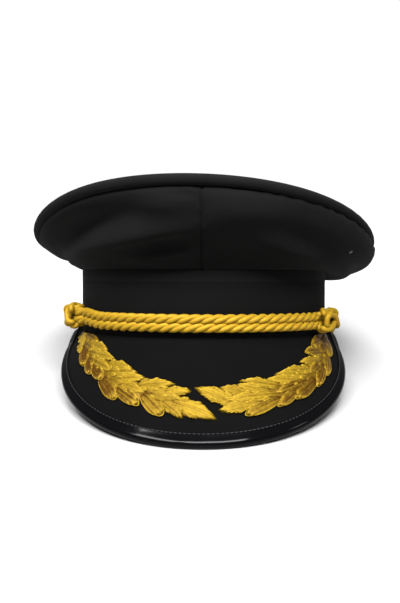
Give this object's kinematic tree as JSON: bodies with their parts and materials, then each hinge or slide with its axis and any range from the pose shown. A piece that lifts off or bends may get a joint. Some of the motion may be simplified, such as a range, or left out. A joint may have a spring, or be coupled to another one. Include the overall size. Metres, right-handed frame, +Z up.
{
  "type": "officer cap",
  "caption": "Peaked officer cap with a flared cloth crown, cloth band, bound peak with gold oak-leaf sprays and a doubled twisted cord held by woven knots.",
  "frame": {"origin": "middle of the cap's box, on the surface that it rests on, with the cap leaned back on its peak and the back of its band", "axes": "+Z up, -Y towards the front of the peak, +X to the right as the cap is seen from the front"},
  "size_m": [0.2358, 0.293, 0.152],
  "materials": {
    "wool_cloth": "black fine wool cloth, matte",
    "peak_cloth": "black fine cloth stretched over a stiff board",
    "patent_leather": "black patent leather, glossy",
    "bullion_embroidery": "gold satin-stitched bullion, silky",
    "gold_cord": "twisted gold thread, silky",
    "gilt_post": "plain gilt, satin"
  },
  "bodies": {
    "root": {"headband": "wool_cloth", "cap_band": "wool_cloth", "band_strip": "wool_cloth", "side_panel_left": "wool_cloth", "side_panel_right": "wool_cloth", "crown_top": "wool_cloth", "peak_board": "peak_cloth", "peak_binding": "patent_leather", "oak_spray_left": "bullion_embroidery", "oak_spray_right": "bullion_embroidery", "cap_cord": "gold_cord", "cord_knot_left": "gold_cord", "cord_knot_right": "gold_cord", "cord_post_left": "gilt_post", "cord_post_right": "gilt_post"}
  },
  "joints": []
}
